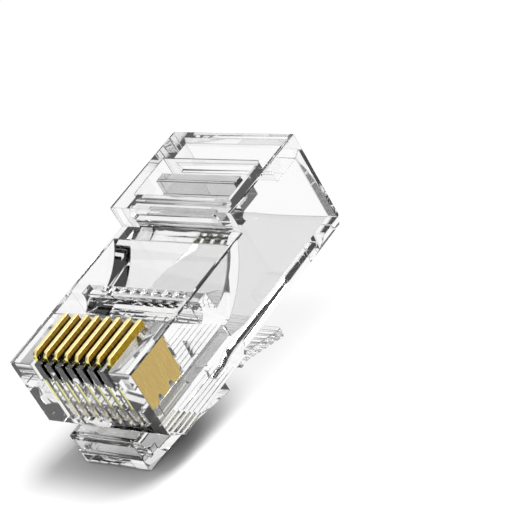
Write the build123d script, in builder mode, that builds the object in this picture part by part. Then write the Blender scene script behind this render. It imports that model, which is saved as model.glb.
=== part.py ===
import os

from build123d import *

# Eight-way modular plug, clear moulded body with eight blade contacts.
# Millimetres. X runs across the plug, +Y from the nose to the cable end, +Z up,
# with the contacts on top and the latch below. The origin lies on the centre
# plane, where the nose's front face would meet the underside.

# Outer body
body_width = 11.68
body_length = 21.84
deck_height = 6.65
block_height = 8.40
block_start = 13.70
nose_chamfer_length = 1.17
nose_chamfer_height = 1.06
edge_round = 0.12
keel_start = 9.20
keel_slope = 0.50
keel_chamfer_width = 0.50
keel_chamfer_height = 1.06

# Cable cavity and wire channels
side_wall = 1.24
floor_thickness = 1.25
roof_thickness = 1.85
cavity_roof_front = 13.75
cavity_throat_start = 9.40
cavity_belly = (11.60, 3.85)
entry_flare = 0.45
entry_flare_angle = 45
channel_width = 0.88
channel_height = 1.00
channel_floor = 1.55
channel_front = 1.20
channel_rear = 8.90

# Contacts
contact_count = 8
contact_pitch = 1.02
blade_thickness = 0.32
blade_front = 0.50
blade_head_length = 4.00
blade_body_length = 3.85
blade_top = 7.15
blade_shoulder = 4.95
blade_tip = 2.55
blade_front_round = 0.45
blade_rear_round = 0.25
tooth_count = 3
tooth_depth = 0.45
tooth_gap = 0.24
tooth_chamfer = 0.14
blade_side_clearance = 0.03
blade_end_clearance = 0.06
crimp_travel = 1.10
slot_front_sill = 5.10
slot_seat_clearance = 0.05

# Recess behind the contacts: ramp, trough, comb bar and scoop
recess_wall = 0.30
recess_front_wall = 0.50
recess_front = 4.80
trough_floor = 4.50
trough_floor_end = 7.00
trough_bend = (7.56, 4.90)
comb_front = 7.72
comb_rear = 8.60
comb_top = 5.82
scoop_start = 8.75
scoop_floor = 4.30
scoop_middle = (11.16, 5.28)
scoop_end = 12.40
comb_notch_width = 0.74
comb_notch_length = 0.48
comb_notch_floor = 5.40

# Strain-relief window and bar
window_front = 15.15
window_length = 3.85
bar_side_clearance = 0.80
bar_reach = 2.50
bar_thickness = 0.85
bar_top_drop = 0.20
web_thickness = 0.50
bar_hinge_clearance = 0.04
face_slot_length = 8.40
face_slot_height = 0.70
face_slot_depth = 0.45
face_slot_centre = 7.72

# Latch
latch_width = 6.10
root_reach = 1.00
root_top = 0.95
root_arm_thickness = 0.65
hinge_height = -0.75
hinge_clearance = 0.04
latch_thickness = 0.70
latch_underside = -1.70
latch_toe = 0.15
latch_bend = 3.00
latch_bend_height = -1.95
catch_front = 6.75
catch_shoulder = 8.00
catch_height = -2.98
neck_width = 3.25
neck_height = -2.62
pad_front = 9.80
pad_bend = 10.60
pad_rear = 14.70
pad_rear_height = -4.02
pad_corner_round = 0.60
grip_count = 6
grip_pitch = 0.62
grip_radius = 0.14
rib_width = 0.70
rib_height = 0.50
rib_front = -0.06
rib_rear = 0.57

# Derived sizes
half_width = body_width / 2
half_inside = half_width - side_wall
over = 1.0
channel_top = channel_floor + channel_height
cavity_roof = block_height - roof_thickness
blade_rear = blade_front + blade_head_length
blade_body_rear = blade_front + blade_body_length
slot_front = blade_front - blade_end_clearance
slot_rear = blade_rear + blade_end_clearance
slot_body_rear = blade_body_rear + blade_end_clearance
slot_width = blade_thickness + 2 * blade_side_clearance
slot_seat = blade_shoulder - crimp_travel - slot_seat_clearance
slot_bottom = blade_tip - crimp_travel - slot_seat_clearance
hinge_radius = root_arm_thickness / 2
hinge_y = -root_reach + hinge_radius
window_rear = window_front + window_length
bar_rear = window_front + bar_reach
bar_front = bar_rear - bar_thickness
bar_hinge_height = cavity_roof + web_thickness / 2
nose_chamfer_slope = nose_chamfer_length / nose_chamfer_height


def contact_x(index):
    """Centre of contact number index, counted from 0 at the -X side."""
    return (index - (contact_count - 1) / 2) * contact_pitch


def nose_chamfer_y(height):
    """Where the nose's lower chamfer stands at a height above the underside."""
    return (nose_chamfer_height - height) * nose_chamfer_slope


def cut_keel():
    """Chamfer of the lower side edges, which starts at a slanted step."""
    with BuildPart() as keel:
        with BuildSketch(Plane.XZ.offset(-body_length)):
            with BuildLine():
                Polyline(
                    (half_width, 0),
                    (half_width, keel_chamfer_height),
                    (half_width - keel_chamfer_width, 0),
                    close=True,
                )
            make_face()
            mirror(about=Plane.YZ)
        extrude(amount=body_length - keel_start + keel_slope)
        with BuildSketch(Plane.YZ):
            with BuildLine():
                Polyline(
                    (keel_start - keel_slope, 0),
                    (keel_start, keel_chamfer_height),
                    (keel_start - keel_slope, keel_chamfer_height),
                    close=True,
                )
            make_face()
        extrude(amount=half_width, both=True, mode=Mode.SUBTRACT)
    return keel.part


def make_body_block():
    """Outer form: guide body, raised rear block and chamfered lower edges."""
    with BuildPart() as body:
        with BuildSketch(Plane.YZ):
            with BuildLine():
                Polyline(
                    (0, nose_chamfer_height),
                    (nose_chamfer_length, 0),
                    (body_length, 0),
                    (body_length, block_height),
                    (block_start, block_height),
                    (block_start, deck_height),
                    (0, deck_height),
                    close=True,
                )
            make_face()
        extrude(amount=half_width, both=True)
        deck_edges, block_edges = body.edges().filter_by(Axis.Y).group_by(Axis.Z)[-2:]
        fillet(deck_edges + block_edges, edge_round)
        add(cut_keel(), mode=Mode.SUBTRACT)
    return body.part


def cut_cavity():
    """Cable cavity: high at the cable entry, falling to the wire channels."""
    with BuildPart() as cavity:
        with BuildSketch(Plane.YZ):
            with BuildLine():
                throat = (cavity_throat_start, channel_top)
                roof_front = (cavity_roof_front, cavity_roof)
                Polyline(
                    roof_front,
                    (body_length + over, cavity_roof),
                    (body_length + over, floor_thickness),
                    (cavity_throat_start + over, floor_thickness),
                    (channel_rear, channel_floor),
                    (channel_rear, channel_top),
                    throat,
                )
                ThreePointArc(throat, cavity_belly, roof_front)
            make_face()
        extrude(amount=half_inside, both=True)
        with BuildSketch(Plane.XZ.offset(-body_length)):
            with Locations((0, (floor_thickness + cavity_roof) / 2)):
                Rectangle(
                    2 * (half_inside + entry_flare),
                    cavity_roof - floor_thickness + 2 * entry_flare,
                )
        extrude(amount=entry_flare, taper=entry_flare_angle)
    return cavity.part


def cut_channels():
    """One wire channel below each contact."""
    with BuildPart() as channels:
        for index in range(contact_count):
            with BuildSketch(Plane.XZ.offset(-channel_front)):
                with Locations((contact_x(index), channel_floor + channel_height / 2)):
                    Rectangle(channel_width, channel_height)
            extrude(amount=-(channel_rear - channel_front + over / 2))
    return channels.part


def cut_slots():
    """Contact slots: open at the top and, above the sill, through the nose."""
    with BuildPart() as slots:
        for index in range(contact_count):
            with BuildSketch(Plane.YZ.offset(contact_x(index))):
                with BuildLine():
                    Polyline(
                        (-over, slot_front_sill),
                        (slot_front, slot_front_sill),
                        (slot_front, slot_bottom),
                        (slot_body_rear, slot_bottom),
                        (slot_body_rear, slot_seat),
                        (slot_rear, slot_seat),
                        (slot_rear, deck_height + over),
                        (-over, deck_height + over),
                        close=True,
                    )
                make_face()
            extrude(amount=slot_width / 2, both=True)
    return slots.part


def cut_recess():
    """Recess between thin side walls, from the contacts to the raised block."""
    with BuildPart() as recess:
        with BuildSketch(Plane.YZ):
            with BuildLine():
                Polyline(
                    (scoop_end, deck_height),
                    (scoop_end, deck_height + over),
                    (recess_front, deck_height + over),
                    (recess_front, deck_height),
                    (trough_floor_end, trough_floor),
                )
                ThreePointArc(
                    (trough_floor_end, trough_floor),
                    trough_bend,
                    (comb_front, comb_top),
                )
                Polyline(
                    (comb_front, comb_top),
                    (comb_rear, comb_top),
                    (scoop_start, scoop_floor),
                )
                ThreePointArc(
                    (scoop_start, scoop_floor),
                    scoop_middle,
                    (scoop_end, deck_height),
                )
            make_face()
        extrude(amount=half_width - recess_wall, both=True)
        for side in (-1, 1):
            with Locations((side * (half_width - recess_front_wall), trough_floor_end, trough_floor)):
                Box(
                    recess_front_wall - recess_wall,
                    trough_floor_end - recess_front,
                    deck_height + over - trough_floor,
                    align=(Align.MIN if side > 0 else Align.MAX, Align.MAX, Align.MIN),
                    mode=Mode.SUBTRACT,
                )
        for index in range(contact_count):
            with BuildSketch(Plane.XY.offset(comb_notch_floor)):
                with Locations((contact_x(index), comb_rear - comb_notch_length / 2)):
                    Rectangle(comb_notch_width, comb_notch_length)
            extrude(amount=deck_height - comb_notch_floor)
    return recess.part


def cut_window():
    """Window in the roof for the strain-relief bar, and the slot in front."""
    with BuildPart() as window:
        with BuildSketch(Plane.XY.offset(cavity_roof - over / 2)):
            with Locations((0, (window_front + window_rear) / 2)):
                Rectangle(2 * half_inside, window_rear - window_front)
        extrude(amount=roof_thickness + over)
        with BuildSketch(Plane.XZ.offset(-block_start)):
            with Locations((0, face_slot_centre)):
                SlotOverall(face_slot_length, face_slot_height)
        extrude(amount=-face_slot_depth)
        with BuildSketch(Plane.YZ):
            with Locations((window_front, bar_hinge_height)):
                Circle(web_thickness / 2 + bar_hinge_clearance)
        extrude(amount=half_inside, both=True)
    return window.part


def make_latch_root():
    """Arm that leaves the nose, turns down and carries the latch."""
    seat_radius = hinge_radius + hinge_clearance
    arm_bottom = root_top - root_arm_thickness
    with BuildPart() as root:
        with BuildSketch(Plane.YZ):
            with BuildLine():
                Polyline(
                    (nose_chamfer_y(root_top) + over / 2, root_top),
                    (-root_reach, root_top),
                    (-root_reach, hinge_height),
                    (-root_reach + root_arm_thickness, hinge_height),
                    (-root_reach + root_arm_thickness, arm_bottom),
                    (nose_chamfer_y(arm_bottom) + over / 2, arm_bottom),
                    close=True,
                )
            make_face()
            with Locations((hinge_y, hinge_height)):
                Circle(seat_radius, mode=Mode.SUBTRACT)
        extrude(amount=latch_width / 2, both=True)
    return root.part


with BuildPart() as housing:
    add(make_body_block())
    add(make_latch_root())
    add(cut_cavity(), mode=Mode.SUBTRACT)
    add(cut_channels(), mode=Mode.SUBTRACT)
    add(cut_slots(), mode=Mode.SUBTRACT)
    add(cut_recess(), mode=Mode.SUBTRACT)
    add(cut_window(), mode=Mode.SUBTRACT)
housing.part.label = "housing"


def make_plate(points, width):
    """Plate of one width, with a side outline given in Y and Z."""
    with BuildPart() as plate:
        with BuildSketch(Plane.YZ):
            with BuildLine():
                Polyline(*points, close=True)
            make_face()
        extrude(amount=width / 2, both=True)
    return plate.part


# Latch: toe under the hinge, wide arm with its catch, neck and thumb pad
toe_front = (-root_reach, hinge_height)
toe_back = (-root_reach + root_arm_thickness, hinge_height)
pad_slope = (pad_rear_height - neck_height) / (pad_rear - pad_bend)
neck_top = neck_height + latch_thickness
with BuildPart() as latch:
    with BuildSketch(Plane.YZ):
        with BuildLine():
            Polyline(
                toe_front,
                (-root_reach, latch_underside + latch_toe),
                (-root_reach + latch_toe, latch_underside),
                (0, latch_underside),
                (latch_bend, latch_bend_height),
                (catch_shoulder, catch_height),
                (catch_shoulder, neck_top),
                (catch_front, neck_top),
                (latch_bend, latch_bend_height + latch_thickness),
                (-root_reach + root_arm_thickness, latch_underside + latch_thickness),
                toe_back,
            )
            ThreePointArc(toe_back, (hinge_y, hinge_height + hinge_radius), toe_front)
        make_face()
    extrude(amount=latch_width / 2, both=True)
    neck_outline = [
        (catch_front, neck_height),
        (pad_bend, neck_height),
        (pad_bend, neck_top),
        (catch_front, neck_top),
    ]
    pad_outline = [
        (pad_front, neck_height),
        (pad_bend, neck_height),
        (pad_rear, pad_rear_height),
        (pad_rear, pad_rear_height + latch_thickness),
        (pad_bend, neck_top),
        (pad_front, neck_top),
    ]
    add(make_plate(neck_outline, neck_width))
    add(make_plate(pad_outline, latch_width))
    fillet(latch.edges().filter_by(Axis.Z).group_by(Axis.Y)[-1], pad_corner_round)
    for index in range(grip_count):
        grip_y = pad_rear - (index + 1) * grip_pitch
        grip_z = pad_rear_height + (grip_y - pad_rear) * pad_slope
        with BuildSketch(Plane.YZ):
            with Locations((grip_y, grip_z)):
                Circle(grip_radius)
        extrude(amount=latch_width / 2, both=True, mode=Mode.SUBTRACT)
    for side in (-1, 1):
        rib_x = side * (latch_width - rib_width) / 2
        with BuildSketch(Plane.YZ.offset(rib_x)):
            with BuildLine():
                Polyline(
                    (rib_front, latch_underside + latch_thickness / 2),
                    (rib_rear, latch_underside + latch_thickness / 2),
                    (rib_rear, latch_underside + latch_thickness + rib_height),
                    (rib_front, latch_underside + latch_thickness + rib_height),
                    close=True,
                )
            make_face()
        extrude(amount=rib_width / 2, both=True)
latch.part.label = "latch"


# Strain-relief bar: a flap on a thin web, joined at the window's front edge
bar_half_width = half_inside - bar_side_clearance
with BuildPart() as strain_relief_bar:
    with BuildSketch(Plane.YZ):
        with BuildLine():
            web_bottom = (window_front, cavity_roof)
            web_top = (window_front, cavity_roof + web_thickness)
            Polyline(
                web_bottom,
                (bar_rear, cavity_roof),
                (bar_rear, block_height - bar_top_drop),
                (bar_front, block_height - bar_top_drop),
                (bar_front, cavity_roof + web_thickness),
                web_top,
            )
            ThreePointArc(
                web_top, (window_front - web_thickness / 2, bar_hinge_height), web_bottom
            )
        make_face()
    extrude(amount=bar_half_width, both=True)
strain_relief_bar.part.label = "strain_relief_bar"


def make_contact(index):
    """Blade contact: a head that stands proud and teeth for the wire."""
    tooth_width = blade_body_length / tooth_count
    with BuildPart() as blade:
        with BuildSketch(Plane.YZ.offset(contact_x(index))) as outline:
            with BuildLine():
                Polyline(
                    (blade_front, blade_tip + tooth_depth),
                    (blade_front, blade_top),
                    (blade_rear, blade_top),
                    (blade_rear, blade_shoulder),
                    (blade_body_rear, blade_shoulder),
                    (blade_body_rear, blade_tip + tooth_depth),
                    close=True,
                )
            make_face()
            front_corner, rear_corner = outline.vertices().group_by(Axis.Y)[-1].sort_by(Axis.X)
            fillet(front_corner, blade_front_round)
            fillet(rear_corner, blade_rear_round)
            for tooth in range(tooth_count):
                middle = blade_front + (tooth + 0.5) * tooth_width
                half_tooth = (tooth_width - tooth_gap) / 2
                with BuildLine():
                    Polyline(
                        (middle - half_tooth, blade_tip + tooth_depth),
                        (middle + half_tooth, blade_tip + tooth_depth),
                        (middle + half_tooth - tooth_chamfer, blade_tip),
                        (middle - half_tooth + tooth_chamfer, blade_tip),
                        close=True,
                    )
                make_face()
        extrude(amount=blade_thickness / 2, both=True)
    blade.part.label = f"contact_{index + 1}"
    return blade.part


os.makedirs("parts", exist_ok=True)
export_step(housing.part, "parts/housing.step")
export_step(latch.part, "parts/latch.step")
export_step(strain_relief_bar.part, "parts/strain_relief_bar.step")
for index in range(contact_count):
    export_step(make_contact(index), f"parts/contact_{index + 1}.step")
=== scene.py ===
import math

import bmesh
import bpy
from mathutils import Matrix, Vector


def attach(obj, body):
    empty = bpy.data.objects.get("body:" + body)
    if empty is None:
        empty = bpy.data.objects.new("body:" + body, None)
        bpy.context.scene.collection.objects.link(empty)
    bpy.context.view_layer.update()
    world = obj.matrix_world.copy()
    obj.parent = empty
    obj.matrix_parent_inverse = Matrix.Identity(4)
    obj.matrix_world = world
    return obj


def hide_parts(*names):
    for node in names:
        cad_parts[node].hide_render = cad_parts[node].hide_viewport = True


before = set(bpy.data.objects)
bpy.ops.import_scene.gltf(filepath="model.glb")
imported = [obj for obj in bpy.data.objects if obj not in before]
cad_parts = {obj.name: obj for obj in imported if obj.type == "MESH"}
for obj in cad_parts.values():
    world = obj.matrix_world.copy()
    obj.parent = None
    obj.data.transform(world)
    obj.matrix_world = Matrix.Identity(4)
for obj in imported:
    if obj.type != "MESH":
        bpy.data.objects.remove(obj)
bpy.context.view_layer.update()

# Clear moulded modular plug with gold blade contacts, resting on its latch.
# Metres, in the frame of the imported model.

MM = 0.001

# Camera
camera_place = Vector((125.49, -77.25, 94.89)) * MM
camera_right = Vector((0.72982656, 0.52482228, -0.43808078))
camera_down = Vector((0.04332342, -0.67503197, -0.73651539))
camera_forward = Vector((-0.68225821, 0.51854934, -0.51539336))
camera_focal_pixels = 2595.0
frame_pixels = 512.0
sensor_width = 36.0

# Floor: the plane that the latch's toe and the end of its thumb pad rest on
toe_rest = Vector((0, -0.85, -1.70)) * MM
pad_rest = Vector((0, 14.60, -4.02)) * MM
floor_gap = 0.02 * MM
floor_size = 3.0
# Painted light: the floor's glow hides its shadow, which is full within shadow_near of the toe, a
# tenth by shadow_far and gone by ground_far; seen through the plastic it glows at least half
# white.
shadow_near, shadow_far = 4.5 * MM, 12 * MM
ground_near, ground_far = 40 * MM, 150 * MM
floor_glow_share = 0.9
seen_through_glow_share = 0.5
world_light = 0.55

# Lamp and dark cards round the plug
plug_middle = Vector((0, 10, 2)) * MM
key_lamp_place = Vector((70, 150, 240)) * MM
key_lamp_size = 180 * MM
key_lamp_power = 1.1
card_places = {"card_left": Vector((-200, -50, 50)) * MM, "card_rear": Vector((-20, 250, 80)) * MM}
card_size = 160 * MM
light_bounces = 7

# Clear plastic: refraction, and the size and depth of the waves that the mould leaves
plastic_ior = 1.585
outer_waves, outer_wave_depth = 500, 0.1e-6
inner_waves, inner_wave_depth = 900, 0.2e-6

# Gold plating: length of the drawn grain against its width, and its depth
grain_stretch = 0.12
grain_depth = 2e-6
gap_gold_metallic = 0.2

# Finish of the edges
mould_edge_round = 0.05 * MM
core_edge_round = 0.015 * MM
blade_edge_round = 0.02 * MM
shortest_rounded_edge = 0.018 * MM
weld_distance = 0.0005 * MM
flat_angle = math.radians(0.5)
sharp_angle = math.radians(28)
round_segments = 2

# Zones of the housing and of the blades, in millimetres
slot_zone_half_width = 3.60
slot_zone_front = 0.30
slot_zone_rear = 4.70
slot_wall_low = 2.60
# Heights of painted shade: slot walls turn black above the sill, faces between blades are black
# below gap_dark_height.
slot_sill_height, sill_fade = 5.10, 0.15
gap_dark_height, gap_bright_height = 6.76, 6.90
comb_zone_front, comb_zone_low = 7.65, 5.30
cavity_half_width, cavity_front, cavity_high = 4.70, 8.80, 6.60
channel_front, channel_low, channel_high = 1.00, 1.20, 2.60
core_half_width, core_front, core_rear = 4.20, 0.20, 9.60
core_low, core_high = 0.80, 6.50
hinge_half_width, hinge_front, hinge_rear, hinge_low = 4.60, 13.60, 16.00, 6.00

# Part of a face's normal along an axis, above which the face counts as square to it
square_to_axis = 0.9

contact_count = 8

# Places of the materials in a piece's material list
OUTSIDE, EDGE, CORE_SIDE, SLOT_WALL, CHANNEL_WALL = range(5)
BLADE_SIDE, BLADE_EDGE, BLADE_GAP, BLADE_FRONT = range(4)


def node_group(name, inputs, outputs):
    """A new shader node group with named inputs and outputs."""
    group = bpy.data.node_groups.new(name, "ShaderNodeTree")
    for label, kind, value in inputs:
        socket = group.interface.new_socket(label, in_out="INPUT", socket_type=kind)
        socket.default_value = value
    for label, kind in outputs:
        group.interface.new_socket(label, in_out="OUTPUT", socket_type=kind)
    enter = group.nodes.new("NodeGroupInput")
    leave = group.nodes.new("NodeGroupOutput")
    return group, enter, leave


def new_material(name):
    """A material with only its Principled shader and its output."""
    material = bpy.data.materials.new(name)
    material.use_nodes = True
    return material, material.node_tree, material.node_tree.nodes["Principled BSDF"]


def make_moulded_surface():
    """Faint waves and haze that the mould leaves on clear plastic."""
    group, enter, leave = node_group(
        "moulded_surface",
        [("Wave Size", "NodeSocketFloat", 700.0), ("Haze", "NodeSocketFloat", 0.02)],
        [("Height", "NodeSocketFloat"), ("Roughness", "NodeSocketFloat")],
    )
    place = group.nodes.new("ShaderNodeTexCoord")
    waves = group.nodes.new("ShaderNodeTexNoise")
    waves.inputs["Detail"].default_value = 1.0
    haze = group.nodes.new("ShaderNodeMapRange")
    haze.inputs["From Min"].default_value = 0.3
    haze.inputs["From Max"].default_value = 0.7
    group.links.new(place.outputs["Object"], waves.inputs["Vector"])
    group.links.new(enter.outputs["Wave Size"], waves.inputs["Scale"])
    group.links.new(waves.outputs["Fac"], haze.inputs["Value"])
    group.links.new(enter.outputs["Haze"], haze.inputs["To Max"])
    group.links.new(waves.outputs["Fac"], leave.inputs["Height"])
    group.links.new(haze.outputs["Result"], leave.inputs["Roughness"])
    return group


def make_height_band():
    """Mask that rises from 0 to 1 between two heights above the underside."""
    group, enter, leave = node_group(
        "height_band",
        [("Low", "NodeSocketFloat", 0.0), ("High", "NodeSocketFloat", 0.001)],
        [("Mask", "NodeSocketFloat")],
    )
    place = group.nodes.new("ShaderNodeTexCoord")
    split = group.nodes.new("ShaderNodeSeparateXYZ")
    band = group.nodes.new("ShaderNodeMapRange")
    band.interpolation_type = "SMOOTHSTEP"
    group.links.new(place.outputs["Object"], split.inputs["Vector"])
    group.links.new(split.outputs["Z"], band.inputs["Value"])
    group.links.new(enter.outputs["Low"], band.inputs["From Min"])
    group.links.new(enter.outputs["High"], band.inputs["From Max"])
    group.links.new(band.outputs["Result"], leave.inputs["Mask"])
    return group


def make_stamped_plate():
    """Gold plating over the drawn grain of a stamped sheet, duller in the grain's lows."""
    group, enter, leave = node_group(
        "stamped_plate",
        [("Bright", "NodeSocketColor", (1, 1, 1, 1)), ("Deep", "NodeSocketColor", (0, 0, 0, 1)),
         ("Grain", "NodeSocketFloat", 6000.0), ("Dullness", "NodeSocketFloat", 0.3)],
        [("Color", "NodeSocketColor"), ("Roughness", "NodeSocketFloat"),
         ("Height", "NodeSocketFloat")],
    )
    place = group.nodes.new("ShaderNodeTexCoord")
    stretch = group.nodes.new("ShaderNodeMapping")
    stretch.inputs["Scale"].default_value = (1.0, 1.0, grain_stretch)
    grain = group.nodes.new("ShaderNodeTexNoise")
    grain.inputs["Detail"].default_value = 3.0
    shade = group.nodes.new("ShaderNodeMapRange")
    shade.inputs["From Min"].default_value = 0.35
    shade.inputs["From Max"].default_value = 0.65
    tone = group.nodes.new("ShaderNodeMix")
    tone.data_type = "RGBA"
    dull = group.nodes.new("ShaderNodeMapRange")
    dull.inputs["From Min"].default_value = 0.3
    dull.inputs["From Max"].default_value = 0.7
    dull.inputs["To Min"].default_value = 0.15
    group.links.new(place.outputs["Object"], stretch.inputs["Vector"])
    group.links.new(stretch.outputs["Vector"], grain.inputs["Vector"])
    group.links.new(enter.outputs["Grain"], grain.inputs["Scale"])
    group.links.new(grain.outputs["Fac"], shade.inputs["Value"])
    group.links.new(shade.outputs["Result"], tone.inputs["Factor"])
    group.links.new(enter.outputs["Deep"], tone.inputs["A"])
    group.links.new(enter.outputs["Bright"], tone.inputs["B"])
    group.links.new(grain.outputs["Fac"], dull.inputs["Value"])
    group.links.new(enter.outputs["Dullness"], dull.inputs["To Max"])
    group.links.new(tone.outputs["Result"], leave.inputs["Color"])
    group.links.new(dull.outputs["Result"], leave.inputs["Roughness"])
    group.links.new(grain.outputs["Fac"], leave.inputs["Height"])
    return group


def place_group(tree, group, **values):
    """The group as a node of the material, with its own values."""
    node = tree.nodes.new("ShaderNodeGroup")
    node.node_tree = group
    node.name = group.name
    for label, value in values.items():
        node.inputs[label.replace("_", " ")].default_value = value
    return node


def add_bump(tree, shader, height, depth):
    """Relief of the given depth from a height mask."""
    bump = tree.nodes.new("ShaderNodeBump")
    bump.inputs["Distance"].default_value = depth
    tree.links.new(height, bump.inputs["Height"])
    tree.links.new(bump.outputs["Normal"], shader.inputs["Normal"])


def make_plastic(name, color, haze, wave_size, wave_depth):
    """Clear polycarbonate as it leaves its mould."""
    material, tree, shader = new_material(name)
    shader.inputs["Base Color"].default_value = (*color, 1)
    shader.inputs["IOR"].default_value = plastic_ior
    shader.inputs["Transmission Weight"].default_value = 1.0
    surface = place_group(tree, moulded_surface, Wave_Size=wave_size, Haze=haze)
    tree.links.new(surface.outputs["Roughness"], shader.inputs["Roughness"])
    add_bump(tree, shader, surface.outputs["Height"], wave_depth)
    return material


def make_outer_plastic(name, color, haze):
    """Plastic of the polished outside and of the rounded edges."""
    return make_plastic(name, color, haze, outer_waves, outer_wave_depth)


def make_inner_plastic(name, color):
    """Plastic of the core side, which is a little less smooth."""
    return make_plastic(name, color, 0.05, inner_waves, inner_wave_depth)


def add_height_tone(tree, low, high):
    """Mix of two colours, A below and B above a band of heights."""
    band = place_group(tree, height_band, Low=low * MM, High=high * MM)
    tone = tree.nodes.new("ShaderNodeMix")
    tone.data_type = "RGBA"
    tree.links.new(band.outputs["Mask"], tone.inputs["Factor"])
    tree.links.new(tone.outputs["Result"], tree.nodes["Principled BSDF"].inputs["Base Color"])
    return tone


def make_slot_wall_painted_shade_plastic():
    """Slot walls: painted shade, black above the sill between the blades, warm grey-gold below it.
    """
    material = make_inner_plastic("slot_wall_painted_shade_plastic", (1, 1, 1))
    tone = add_height_tone(material.node_tree, slot_sill_height - sill_fade,
                           slot_sill_height + sill_fade)
    # Painted shade: warm grey-gold below the sill, black above it between the blades.
    tone.inputs["A"].default_value = (0.74, 0.68, 0.48, 1)
    tone.inputs["B"].default_value = (0, 0, 0, 1)
    return material


def make_gold(name, bright, deep, dullness):
    """Gold plating on the stamped blades."""
    material, tree, shader = new_material(name)
    shader.inputs["Metallic"].default_value = 1.0
    plate = place_group(tree, stamped_plate, Bright=(*bright, 1), Deep=(*deep, 1),
                        Dullness=dullness)
    tree.links.new(plate.outputs["Color"], shader.inputs["Base Color"])
    tree.links.new(plate.outputs["Roughness"], shader.inputs["Roughness"])
    add_bump(tree, shader, plate.outputs["Height"], grain_depth)
    return material


def make_gap_gold_painted_shade():
    """Sheet faces that look at the next blade: a darker, less metallic copy of the gold with
    painted shade, black lower down, deep in the gap.
    """
    material = make_gold("gold_sheet_gap_painted_shade", (0.60, 0.34, 0.04), (0.48, 0.26, 0.03), 0.35)
    tree = material.node_tree
    tree.nodes["Principled BSDF"].inputs["Metallic"].default_value = gap_gold_metallic
    # Painted shade: black below gap_dark_height, fading into the darker gold above
    # gap_bright_height.
    tone = add_height_tone(tree, gap_dark_height, gap_bright_height)
    tone.inputs["A"].default_value = (0, 0, 0, 1)
    tree.links.new(tree.nodes["stamped_plate"].outputs["Color"], tone.inputs["B"])
    return material


def add_reach_ramp(tree, distance, near, far, highest):
    """Value that rises from 0 to its highest between two distances."""
    ramp = tree.nodes.new("ShaderNodeMapRange")
    ramp.interpolation_type = "SMOOTHSTEP"
    ramp.inputs["From Min"].default_value = near
    ramp.inputs["From Max"].default_value = far
    ramp.inputs["To Max"].default_value = highest
    tree.links.new(distance, ramp.inputs["Value"])
    return ramp.outputs["Result"]


def make_floor_material():
    """White floor: it shows the shadow round the toe, glows white further off as painted light
    over its shadow, glows at least half white seen through the plastic, and is clear from below.
    """
    material, tree, shader = new_material("pale_floor")
    shader.inputs["Base Color"].default_value = (1, 1, 1, 1)
    shader.inputs["Roughness"].default_value = 0.9
    shader.inputs["Specular IOR Level"].default_value = 0.0
    white = tree.nodes.new("ShaderNodeEmission")
    place = tree.nodes.new("ShaderNodeTexCoord")
    reach = tree.nodes.new("ShaderNodeVectorMath")
    reach.operation = "DISTANCE"
    reach.inputs[1].default_value = toe_rest
    tree.links.new(place.outputs["Object"], reach.inputs[0])
    distance = reach.outputs["Value"]
    share = tree.nodes.new("ShaderNodeMath")
    tree.links.new(add_reach_ramp(tree, distance, shadow_near, shadow_far, floor_glow_share),
                   share.inputs[0])
    tree.links.new(add_reach_ramp(tree, distance, ground_near, ground_far, 1 - floor_glow_share),
                   share.inputs[1])
    path = tree.nodes.new("ShaderNodeLightPath")
    through = tree.nodes.new("ShaderNodeMath")
    through.operation = "MULTIPLY_ADD"
    through.use_clamp = True
    through.inputs[1].default_value = seen_through_glow_share
    tree.links.new(path.outputs["Is Transmission Ray"], through.inputs[0])
    tree.links.new(share.outputs["Value"], through.inputs[2])
    lit = tree.nodes.new("ShaderNodeMixShader")
    tree.links.new(through.outputs["Value"], lit.inputs["Fac"])
    tree.links.new(shader.outputs["BSDF"], lit.inputs[1])
    tree.links.new(white.outputs["Emission"], lit.inputs[2])
    side = tree.nodes.new("ShaderNodeNewGeometry")
    clear = tree.nodes.new("ShaderNodeBsdfTransparent")
    sided = tree.nodes.new("ShaderNodeMixShader")
    tree.links.new(side.outputs["Backfacing"], sided.inputs["Fac"])
    tree.links.new(lit.outputs["Shader"], sided.inputs[1])
    tree.links.new(clear.outputs["BSDF"], sided.inputs[2])
    tree.links.new(sided.outputs["Shader"], tree.nodes["Material Output"].inputs["Surface"])
    return material


def clean_form(node_name):
    """The node's own form, welded, with each flat face whole."""
    form = bmesh.new()
    form.from_mesh(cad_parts[node_name].data)
    bmesh.ops.remove_doubles(form, verts=form.verts, dist=weld_distance)
    bmesh.ops.dissolve_limit(form, angle_limit=flat_angle, verts=form.verts, edges=form.edges)
    form.normal_update()
    return form


def middle_of(edge):
    """Middle of an edge, in millimetres."""
    return (edge.verts[0].co + edge.verts[1].co) / 2 / MM


def is_comb_edge(edge):
    """Edges of the comb's notches stay sharp."""
    middle = middle_of(edge)
    return abs(middle.x) < core_half_width and comb_zone_front < middle.y < core_rear \
        and middle.z > comb_zone_low


def is_core_edge(edge):
    """Edges inside the slots, the wire channels and round the bar's hinge are nearly sharp."""
    middle = middle_of(edge)
    in_core = abs(middle.x) < core_half_width and core_front < middle.y < core_rear \
        and core_low < middle.z < core_high
    at_hinge = abs(middle.x) < hinge_half_width and hinge_front < middle.y < hinge_rear \
        and middle.z > hinge_low
    return in_core or at_hinge


def round_edges(form, width, material_place, chosen):
    """Small round along each sharp edge that is chosen."""
    sharp = [edge for edge in form.edges
             if edge.is_manifold and edge.calc_face_angle() > sharp_angle
             and edge.calc_length() > shortest_rounded_edge and chosen(edge)]
    bmesh.ops.bevel(form, geom=sharp, offset=width, offset_type="OFFSET",
                    segments=round_segments, profile=0.5, affect="EDGES", clamp_overlap=False,
                    loop_slide=True, material=material_place)


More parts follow.
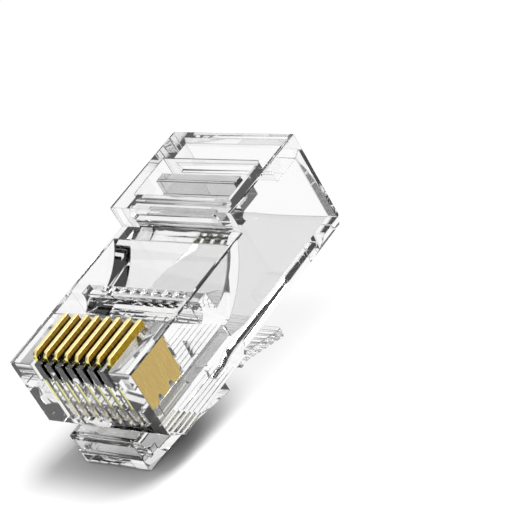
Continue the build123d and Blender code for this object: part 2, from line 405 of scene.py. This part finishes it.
def housing_zone(face):
    """Which material a face of the housing takes: the outside, or the core side, slot walls and
    wire channels, which carry painted shade.
    """
    middle = face.calc_center_median() / MM
    across = abs(middle.x)
    in_slots = across < slot_zone_half_width and slot_zone_front < middle.y < slot_zone_rear
    if in_slots and abs(face.normal.x) > square_to_axis and middle.z > slot_wall_low:
        return SLOT_WALL
    in_width = across < cavity_half_width
    in_cavity = in_width and middle.y > cavity_front and middle.z < cavity_high
    in_channels = in_width and middle.y > channel_front and channel_low < middle.z < channel_high
    if in_channels:
        return CHANNEL_WALL
    return CORE_SIDE if in_cavity else OUTSIDE


def clear_zone(face):
    """All faces of the latch and the bar take the first of their materials: clear plastic on the
    latch, grey painted shade on the bar.
    """
    return OUTSIDE


def blade_zone(number):
    """The sheet's faces, those that look at another blade (painted shade), and the stamped and
    front edges (painted highlight) differ.
    """
    def zone(face):
        if abs(face.normal.x) > square_to_axis:
            outer = number == (contact_count if face.normal.x > 0 else 1)
            return BLADE_SIDE if outer else BLADE_GAP
        return BLADE_FRONT if face.normal.y < -square_to_axis else BLADE_EDGE
    return zone


def make_finished_piece(node_name, materials, edge_round, edge_place, zone):
    """A piece of the node's form, with the small rounds of its moulded or stamped edges."""
    form = clean_form(node_name)
    for face in form.faces:
        face.material_index = zone(face)
        face.smooth = True
    if node_name == "housing":
        round_edges(form, core_edge_round, -1,
                    lambda edge: is_core_edge(edge) and not is_comb_edge(edge))
        round_edges(form, edge_round, edge_place,
                    lambda edge: not is_core_edge(edge) and not is_comb_edge(edge))
    else:
        round_edges(form, edge_round, edge_place, lambda edge: True)
    for face in form.faces:
        face.smooth = True
    mesh = bpy.data.meshes.new(f"{node_name}_finished")
    form.to_mesh(mesh)
    form.free()
    for material in materials:
        mesh.materials.append(material)
    piece = bpy.data.objects.new(f"{node_name}_finished", mesh)
    bpy.context.collection.objects.link(piece)
    normals = piece.modifiers.new("flat faces", "WEIGHTED_NORMAL")
    normals.weight = 100
    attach(piece, node_name)
    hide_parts(node_name)


def make_floor():
    """Plane through the toe's and the pad's resting points."""
    along = (pad_rest - toe_rest).normalized()
    across = Vector((1, 0, 0))
    up = across.cross(along)
    centre = (toe_rest + pad_rest) / 2 - up * floor_gap
    half = floor_size / 2
    corners = [centre + across * x * half + along * y * half
               for x, y in ((-1, -1), (1, -1), (1, 1), (-1, 1))]
    mesh = bpy.data.meshes.new("floor")
    mesh.from_pydata(corners, [], [(0, 1, 2, 3)])
    floor = bpy.data.objects.new("floor", mesh)
    floor.data.materials.append(make_floor_material())
    bpy.context.collection.objects.link(floor)


def make_camera():
    """Camera at the fitted place and angle."""
    data = bpy.data.cameras.new("camera")
    data.sensor_width = sensor_width
    data.lens = camera_focal_pixels / frame_pixels * sensor_width
    data.clip_start = 0.01
    data.clip_end = 10.0
    camera = bpy.data.objects.new("camera", data)
    axes = Matrix((camera_right, -camera_down, -camera_forward)).transposed()
    camera.matrix_world = Matrix.Translation(camera_place) @ axes.to_4x4()
    bpy.context.collection.objects.link(camera)
    bpy.context.scene.camera = camera


def make_light(name, place, size, power):
    """A soft square lamp that faces the plug."""
    data = bpy.data.lights.new(name, "AREA")
    data.size = size
    data.energy = power
    lamp = bpy.data.objects.new(name, data)
    lamp.location = place
    lamp.rotation_mode = "QUATERNION"
    lamp.rotation_quaternion = (plug_middle - lamp.location).to_track_quat("-Z", "Y")
    bpy.context.collection.objects.link(lamp)


def make_world():
    """White studio: what the eye, metal and clear plastic see is white, and it lights softly."""
    world = bpy.data.worlds.new("studio")
    world.use_nodes = True
    tree = world.node_tree
    background = tree.nodes["Background"]
    background.inputs["Color"].default_value = (1, 1, 1, 1)
    path = tree.nodes.new("ShaderNodeLightPath")
    seen = tree.nodes.new("ShaderNodeMath")
    seen.operation = "MAXIMUM"
    seen_all = tree.nodes.new("ShaderNodeMath")
    seen_all.operation = "MAXIMUM"
    strength = tree.nodes.new("ShaderNodeMapRange")
    strength.inputs["To Min"].default_value = world_light
    strength.inputs["To Max"].default_value = 1.0
    tree.links.new(path.outputs["Is Camera Ray"], seen.inputs[0])
    tree.links.new(path.outputs["Is Glossy Ray"], seen.inputs[1])
    tree.links.new(seen.outputs[0], seen_all.inputs[0])
    tree.links.new(path.outputs["Is Transmission Ray"], seen_all.inputs[1])
    tree.links.new(seen_all.outputs[0], strength.inputs["Value"])
    tree.links.new(strength.outputs["Result"], background.inputs["Strength"])
    bpy.context.scene.world = world


def make_card(name, place, size, material):
    """A dark card beside the plug, seen only in reflections and through the clear plastic."""
    mesh = bpy.data.meshes.new(name)
    half = size / 2
    away = (place - plug_middle).normalized()
    side = away.cross(Vector((0, 0, 1))).normalized()
    up = side.cross(away)
    corners = [place + side * x * half + up * y * half
               for x, y in ((-1, -1), (1, -1), (1, 1), (-1, 1))]
    mesh.from_pydata(corners, [], [(0, 1, 2, 3)])
    card = bpy.data.objects.new(name, mesh)
    card.data.materials.append(material)
    card.visible_camera = False
    card.visible_diffuse = False
    card.visible_shadow = False
    bpy.context.collection.objects.link(card)


def make_card_material():
    """Matt black of the cards."""
    material, tree, shader = new_material("dark_card")
    shader.inputs["Base Color"].default_value = (0.03, 0.03, 0.03, 1)
    shader.inputs["Roughness"].default_value = 1.0
    shader.inputs["Specular IOR Level"].default_value = 0.0
    return material


moulded_surface = make_moulded_surface()
height_band = make_height_band()
stamped_plate = make_stamped_plate()
plastics = [
    make_outer_plastic("clear_plastic", (0.97, 0.97, 0.97), 0.02),
    # Painted shade: the rounded edges are grey, darker than clear plastic, for dark outlines.
    make_outer_plastic("clear_plastic_edge_painted_shade", (0.45, 0.45, 0.45), 0.05),
    # Painted shade: the core side is a little greyer than the outside.
    make_inner_plastic("core_side_painted_shade_plastic", (0.93, 0.93, 0.93)),
    make_slot_wall_painted_shade_plastic(),
    # Painted shade: the wire channels and low cavity walls are grey.
    make_inner_plastic("channel_wall_painted_shade_plastic", (0.62, 0.62, 0.62)),
]
latch_plastics = [
    plastics[OUTSIDE],
    # Painted shade: the latch's rounded edges are light grey, for outlines.
    make_outer_plastic("clear_plastic_latch_edge_painted_shade", (0.75, 0.75, 0.75), 0.05),
]
bar_plastics = [
    # Painted shade: the bar's clear plastic is grey all over.
    make_outer_plastic("clear_plastic_bar_painted_shade", (0.62, 0.62, 0.62), 0.05),
    plastics[EDGE],
]
# Lit and shaded copies of one gold: the stamped edges are a pale painted highlight, the faces
# between blades a darker copy with painted shade.
golds = [
    make_gold("gold_sheet_face", (0.62, 0.41, 0.04), (0.54, 0.35, 0.03), 0.30),
    make_gold("gold_stamped_edge_painted_highlight", (0.94, 0.82, 0.40), (0.90, 0.76, 0.33), 0.45),
    make_gap_gold_painted_shade(),
    # Painted highlight: the blades' front edges are lemon yellow.
    make_gold("gold_front_edge_painted_highlight", (1.0, 1.0, 0.16), (1.0, 0.97, 0.13), 0.30),
]
make_finished_piece("housing", plastics, mould_edge_round, EDGE, housing_zone)
make_finished_piece("latch", latch_plastics, mould_edge_round, EDGE, clear_zone)
make_finished_piece("strain_relief_bar", bar_plastics, mould_edge_round, EDGE,
                    clear_zone)
for number in range(1, contact_count + 1):
    make_finished_piece(f"contact_{number}", golds, blade_edge_round,
                        BLADE_EDGE, blade_zone(number))

make_floor()
make_camera()
make_world()
card_black = make_card_material()
for card_name, card_place in card_places.items():
    make_card(card_name, card_place, card_size, card_black)
make_light("key", key_lamp_place, key_lamp_size, key_lamp_power)

scene = bpy.context.scene
scene.view_settings.view_transform = "Standard"
scene.cycles.max_bounces = light_bounces
scene.cycles.transmission_bounces = light_bounces
scene.cycles.glossy_bounces = light_bounces
scene.cycles.caustics_refractive = False
scene.cycles.caustics_reflective = False
